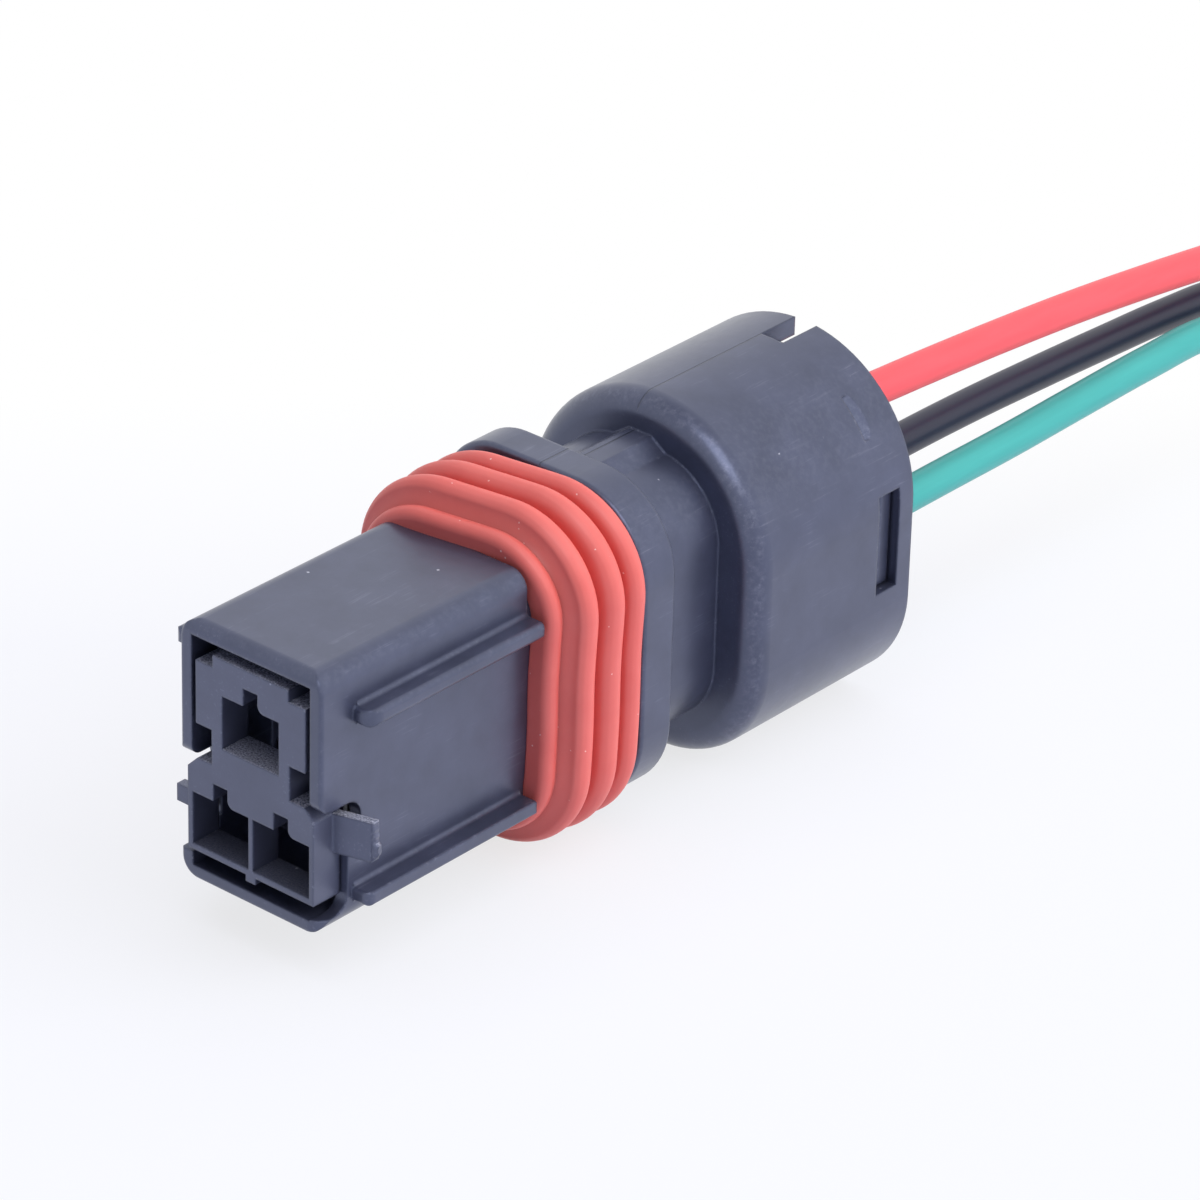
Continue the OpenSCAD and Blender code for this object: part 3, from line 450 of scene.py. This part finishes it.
def make_wire(name, x, z, free, layer, material, nodes):
    """One insulated lead as a smooth tube on its route, with its bared end."""
    route = [(x, y, z) for y in STRAIGHT_Y] + free + hank_route(layer)
    curve = bpy.data.curves.new(name, "CURVE")
    curve.dimensions = "3D"
    curve.bevel_depth = WIRE_D / 2 * MM
    curve.bevel_resolution = 6
    curve.resolution_u = 6
    curve.use_fill_caps = True
    spline = curve.splines.new("BEZIER")
    spline.bezier_points.add(len(route) - 1)
    for point, place in zip(spline.bezier_points, route):
        point.co = Vector(place) * MM
        point.handle_left_type = point.handle_right_type = "AUTO"
    wire = place_piece(name, curve, material, "body")
    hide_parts(*nodes)
    end = bared_end(name + "_end", Vector(route[-1]))


make_wire(
    "red_lead", x=0, z=TOP_WIRE_Z, free=FREE_RED, layer=2,
    material=red_pvc, nodes=("red_wire", "red_hank"),
)
make_wire(
    "black_lead", x=-LOW_WIRE_X, z=LOW_WIRE_Z, free=FREE_BLACK, layer=1,
    material=black_pvc, nodes=("black_wire", "black_hank"),
)
make_wire(
    "green_lead", x=LOW_WIRE_X, z=LOW_WIRE_Z, free=FREE_GREEN, layer=0,
    material=green_pvc, nodes=("green_wire", "green_hank"),
)


# Interface seal: a soft ridged ring that sits a little askew on its seat, wavy where it is slack

SEAL_SIZES = {
    "Seat Width": 11.6 * MM,
    "Seat Height": 17.2 * MM,
    "Seat Corner": 3.4 * MM,
    "Ring Length": 7.6 * MM,
    "Ridge Height": 3.4 * MM,
    "Front": -7.1 * MM,
    "Axis Height": 12.15 * MM,
    "Lean": -0.8 * MM,
    "Lean Across": 0.129,
    "Lean Up": 0.029,
    "Wave": 0.5 * MM,
}
# The bead and the three ridges: way along the ring, height over the seat and radius, in mm
BEAD = (0.7, 1.7, 0.7)
RIDGES = ((2.35, 3.1, 0.95), (4.7, 3.2, 0.95), (6.8, 3.1, 0.8))
RIDGE_TURNS = [math.radians(a) for a in (-82, -65, -45, -22, 0, 22, 45, 65, 82)]
# The groove behind the bead, as way and height, and the height of the valleys, in mm
GROOVE = (1.45, 0.9)
VALLEY_HEIGHT = 1.5
WAVE_LENGTH = 7
WELD = 0.004
RING_STEPS = 220
PROFILE_STEPS = 170
CORNER_STEPS = 16
# Shares of the way round the profile
FRONT_FACE_END = 0.06
REAR_FACE_START = 0.8
INNER_WALL_START = 0.86


def arc(way, height, radius):
    """Points over a round ridge, as way and height."""
    middle = height - radius
    return [(way + radius * math.sin(a), middle + radius * math.cos(a)) for a in RIDGE_TURNS]


def ring_profile():
    """Outside of the ring: a bead, a shallow groove, then round ridges with narrow valleys."""
    points = arc(*BEAD) + [GROOVE]
    for ridge, following in zip(RIDGES, RIDGES[1:]):
        points += arc(*ridge)
        points.append(((ridge[0] + ridge[2] + following[0] - following[2]) / 2, VALLEY_HEIGHT))
    return points + arc(*RIDGES[-1])


def seal_tree():
    """Node tree of the ring: a grid wrapped round its seat one way and along its ridged profile the
    other."""
    tree = bpy.data.node_groups.new("ridged ring on a seat", "GeometryNodeTree")
    for label in SEAL_SIZES:
        tree.interface.new_socket(label, in_out="INPUT", socket_type="NodeSocketFloat")
    tree.interface.new_socket("Finish", in_out="INPUT", socket_type="NodeSocketMaterial")
    tree.interface.new_socket("Ring", in_out="OUTPUT", socket_type="NodeSocketGeometry")
    size = add(tree, "NodeGroupInput").outputs

    # The grid is one by one, round the origin
    grid = add(tree, "GeometryNodeMeshGrid", {
        "Size X": 1.0, "Size Y": 1.0, "Vertices X": RING_STEPS, "Vertices Y": PROFILE_STEPS,
    })
    spot = add(tree, "ShaderNodeSeparateXYZ", {0: add(tree, "GeometryNodeInputPosition")}).outputs
    round_way = add(tree, "ShaderNodeMath", {0: spot["X"], 1: 0.5}, operation="ADD")
    profile_way = add(tree, "ShaderNodeMath", {0: spot["Y"], 1: 0.5}, operation="ADD")

    corners = add(tree, "GeometryNodeCurvePrimitiveQuadrilateral", {
        "Width": size["Seat Width"], "Height": size["Seat Height"],
    })
    seat = add(tree, "GeometryNodeFilletCurve", {
        "Curve": corners, "Count": CORNER_STEPS, "Radius": size["Seat Corner"],
    }, mode="POLY")
    on_seat = add(tree, "GeometryNodeSampleCurve", {
        "Curves": seat, "Factor": round_way,
    }, mode="FACTOR", use_all_curves=True).outputs
    place = add(tree, "ShaderNodeSeparateXYZ", {0: on_seat["Position"]}).outputs
    ahead = add(tree, "ShaderNodeSeparateXYZ", {0: on_seat["Tangent"]}).outputs

    # Along the profile: up the front face, out over the ridges, down the rear face and back inside
    way_out, way_back, front_rise, rear_rise = [
        add(tree, "ShaderNodeMapRange", {"Value": profile_way, "From Min": start, "From Max": end})
        for start, end in (
            (FRONT_FACE_END, REAR_FACE_START), (INNER_WALL_START, 1.0),
            (0.0, FRONT_FACE_END), (INNER_WALL_START, REAR_FACE_START),
        )
    ]
    along = add(tree, "ShaderNodeMath", {0: way_out, 1: way_back}, operation="SUBTRACT")
    height = add(tree, "ShaderNodeFloatCurve", {"Value": way_out})
    knots = height.mapping.curves[0].points
    profile = [
        (way * MM / SEAL_SIZES["Ring Length"], rise * MM / SEAL_SIZES["Ridge Height"])
        for way, rise in ring_profile()
    ]
    knots[0].location = (0, profile[0][1])
    knots[-1].location = (1, profile[-1][1])
    for way, rise in profile[1:-1]:
        knots.new(way, rise)
    height.mapping.update()
    for factor in (front_rise, rear_rise, size["Ridge Height"]):
        height = add(tree, "ShaderNodeMath", {0: height, 1: factor}, operation="MULTIPLY")

    # Where a point of the grid goes: out from the seat, and along by its way, lean and waves
    noise = add(tree, "ShaderNodeTexNoise", {
        "Vector": on_seat["Position"], "Scale": 1 / (WAVE_LENGTH * MM), "Detail": 0,
    })
    slack = add(tree, "ShaderNodeMath", {0: noise, 1: 0.5}, operation="SUBTRACT")
    x = add(tree, "ShaderNodeMath", {
        0: ahead["Y"], 1: height, 2: place["X"],
    }, operation="MULTIPLY_ADD")
    y = add(tree, "ShaderNodeMath", {0: size["Front"], 1: size["Lean"]}, operation="ADD")
    for value, factor in (
        (along, "Ring Length"), (place["X"], "Lean Across"), (place["Y"], "Lean Up"),
        (slack, "Wave"),
    ):
        y = add(tree, "ShaderNodeMath", {
            0: value, 1: size[factor], 2: y,
        }, operation="MULTIPLY_ADD")
    inward = add(tree, "ShaderNodeMath", {0: ahead["X"], 1: height}, operation="MULTIPLY")
    over_axis = add(tree, "ShaderNodeMath", {0: place["Y"], 1: inward}, operation="SUBTRACT")
    z = add(tree, "ShaderNodeMath", {0: over_axis, 1: size["Axis Height"]}, operation="ADD")
    position = add(tree, "ShaderNodeCombineXYZ", {"X": x, "Y": y, "Z": z})
    wrapped = add(tree, "GeometryNodeSetPosition", {"Geometry": grid, "Position": position})
    closed = add(tree, "GeometryNodeMergeByDistance", {"Geometry": wrapped, "Distance": WELD * MM})
    outward = add(tree, "GeometryNodeFlipFaces", {"Mesh": closed})
    smooth = add(tree, "GeometryNodeSetShadeSmooth", {"Geometry": outward})
    real = add(tree, "GeometryNodeRealizeInstances", {"Geometry": smooth})
    finished = add(tree, "GeometryNodeSetMaterial", {"Geometry": real, "Material": size["Finish"]})
    add(tree, "NodeGroupOutput", {"Ring": finished})
    return tree


def grown(name, tree, values):
    """Plain mesh that a Geometry Nodes tree makes from the given values of its named inputs."""
    holder = bpy.data.objects.new(name + "_holder", bpy.data.meshes.new(name + "_holder"))
    scene.collection.objects.link(holder)
    nodes = holder.modifiers.new("grow", "NODES")
    nodes.node_group = tree
    for item in tree.interface.items_tree:
        if item.item_type == "SOCKET" and item.in_out == "INPUT":
            nodes[item.identifier] = values[item.name]
    graph = bpy.context.evaluated_depsgraph_get()
    mesh = bpy.data.meshes.new_from_object(holder.evaluated_get(graph))
    mesh.name = name
    bpy.data.objects.remove(holder)
    return mesh


ring_mesh = grown("seal_ring", seal_tree(), {**SEAL_SIZES, "Finish": red_silicone})
seal = place_piece("seal_ring", ring_mesh, red_silicone, "body")
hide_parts("interface_seal")


# Stub of the moulding gate, torn off at the tip of the lock's right ear, in mm

STUB_ROOT_X = 7.55
STUB_TIP_X = 7.71
STUB_FRONT_Y = -23.33
STUB_REAR_Y = -22.67
STUB_CHAMFER = 0.08
# Height of each row over the base, how far it sticks out of the tip and how far it is torn back
STUB_ROWS = (
    (8.36, 0.02, 0.1), (8.5, 0.12, 0.02), (8.62, 0.16, 0.2), (8.78, 0.36, 0.05), (9.0, 0.44, 0.12),
    (9.25, 0.4, 0.02), (9.5, 0.42, 0.16), (9.62, 0.16, 0.08), (9.8, 0.1, 0.22), (10.05, 0.2, 0.05),
    (10.3, 0.08, 0.18), (10.55, 0.15, 0.04), (10.8, 0.06, 0.12), (11.0, 0.1, 0.02),
    (11.04, 0.02, 0.1),
)


def gate_stub():
    """Ragged end of the ear as one closed skin of torn rows."""
    rows = []
    for z, reach, torn in STUB_ROWS:
        outline = (
            (STUB_ROOT_X, STUB_FRONT_Y),
            (STUB_TIP_X + 0.4 * reach, STUB_FRONT_Y + 0.4 * torn),
            (STUB_TIP_X + reach, STUB_FRONT_Y + STUB_CHAMFER + torn),
            (STUB_TIP_X + 0.7 * reach, STUB_REAR_Y - STUB_CHAMFER),
            (STUB_TIP_X, STUB_REAR_Y),
            (STUB_ROOT_X, STUB_REAR_Y),
        )
        rows.append([(x, y, z) for x, y in outline])
    place_piece("gate_stub", closed_skins("gate_stub", [rows]), lock_nylon, "lock")


gate_stub()


# Finishes of the pieces that keep their solids

FINISHES = {
    housing_nylon: ("housing", "rear_cover"),
    lock_nylon: ("terminal_lock",),
    red_silicone: ("wire_seal",),
    tinned_strip: ("contact_top", "contact_left", "contact_right"),
    spring_steel: ("spring_top", "spring_left", "spring_right"),
    drawn_copper: ("strands_top", "strands_left", "strands_right"),
    tie_nylon: ("hank_tie",),
}
for finish, names in FINISHES.items():
    for name in names:
        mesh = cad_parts[name].data
        mesh.materials.clear()
        mesh.materials.append(finish)


# Stage: a pale sweep that is white behind, soft light from above and from the right rear, in metres

FLOOR_SIZE = 3.0
FLOOR_GLOW = 0.75
# How far behind the part, in mm, the floor starts to go white, and where it is white
WHITE_START = 30
WHITE_END = 80
LAMP_COLOUR = "#fdfcff"
AMBIENT = 0.3
# Upward parts of a direction between which the white of the tent goes over to its greyer roof
ROOF_START = 0.72
ROOF_END = 0.95


def seen_directly(tree):
    """One for rays from the camera, also by a reflection or through glass, zero for the rest."""
    rays = add(tree, "ShaderNodeLightPath").outputs
    seen = rays["Is Camera Ray"]
    for way in ("Is Glossy Ray", "Is Transmission Ray"):
        seen = add(tree, "ShaderNodeMath", {0: seen, 1: rays[way]}, operation="MAXIMUM")
    return seen


def make_floor():
    """Pale paper under the part, seen as almost white."""
    material, tree = new_material("pale studio paper")
    paper = add(tree, "ShaderNodeBsdfPrincipled", {"Base Color": srgb("#dadeee"), "Roughness": 0.9})
    glow = add(tree, "ShaderNodeEmission", {"Color": srgb("#ffffff"), "Strength": 1.0})
    spot = add(tree, "ShaderNodeSeparateXYZ", {0: object_coords(tree)}).outputs
    behind = add(tree, "ShaderNodeMath", {0: spot["Y"], 1: spot["X"]}, operation="SUBTRACT")
    glowing = add(tree, "ShaderNodeMapRange", {
        "Value": behind, "From Min": WHITE_START, "From Max": WHITE_END, "To Min": FLOOR_GLOW,
    })
    seen = add(tree, "ShaderNodeMath", {0: seen_directly(tree), 1: glowing}, operation="MULTIPLY")
    shown = add(tree, "ShaderNodeMixShader", {0: seen, 1: paper, 2: glow})
    add(tree, "ShaderNodeOutputMaterial", {"Surface": shown})
    half = FLOOR_SIZE / 2
    mesh = bpy.data.meshes.new("floor")
    ends = [(-half, -half, 0), (half, -half, 0), (half, half, 0), (-half, half, 0)]
    mesh.from_pydata(ends, [], [(0, 1, 2, 3)])
    mesh.materials.append(material)
    floor = bpy.data.objects.new("floor", mesh)
    scene.collection.objects.link(floor)


def soft_light(name, place, aim, size, watts, mirrored=False):
    """Square area lamp aimed at a point: behind the white tent that the part reflects, or else in
    front of it, where only reflections show it."""
    lamp = bpy.data.lights.new(name, "AREA")
    lamp.size = size
    lamp.energy = watts
    lamp.color = srgb(LAMP_COLOUR)[:3]
    holder = bpy.data.objects.new(name, lamp)
    holder.location = place
    holder.visible_glossy = mirrored
    holder.visible_diffuse = not mirrored
    holder.rotation_euler = (Vector(aim) - Vector(place)).to_track_quat("-Z", "Y").to_euler()
    scene.collection.objects.link(holder)


def make_tent():
    """World that lights the part evenly, and that is seen as a white tent with a greyer roof."""
    world = bpy.data.worlds.new("studio")
    world.use_nodes = True
    scene.world = world
    sky = world.node_tree
    sky.nodes.clear()
    ambient = add(sky, "ShaderNodeBackground", {"Color": srgb("#dce2ff"), "Strength": AMBIENT})
    direction = add(sky, "ShaderNodeTexCoord").outputs["Generated"]
    way = add(sky, "ShaderNodeSeparateXYZ", {0: direction}).outputs
    roof = add(sky, "ShaderNodeMapRange", {
        "Value": way["Z"], "From Min": ROOF_START, "From Max": ROOF_END,
    })
    cloth = add(sky, "ShaderNodeMix", {
        "Factor": roof, "A": srgb("#ffffff"), "B": srgb("#c8c8cc"),
    }, data_type="RGBA")
    tent = add(sky, "ShaderNodeBackground", {"Color": cloth, "Strength": 1.0})
    shown = add(sky, "ShaderNodeMixShader", {0: seen_directly(sky), 1: ambient, 2: tent})
    add(sky, "ShaderNodeOutputWorld", {"Surface": shown})


make_floor()
soft_light("top_softbox", (0.1, 0.2, 0.9), aim=(0, 0, 0), size=1.5, watts=11.0)
soft_light("right_softbox", (0.9, 0.5, 0.45), aim=(0, 0, 0.01), size=1.2, watts=12.5)
soft_light(
    "edge_softbox", (0.43, -0.27, 0.8), aim=(0, 0, 0.01), size=0.6, watts=3.2, mirrored=True,
)
make_tent()

scene.view_settings.view_transform = "Standard"
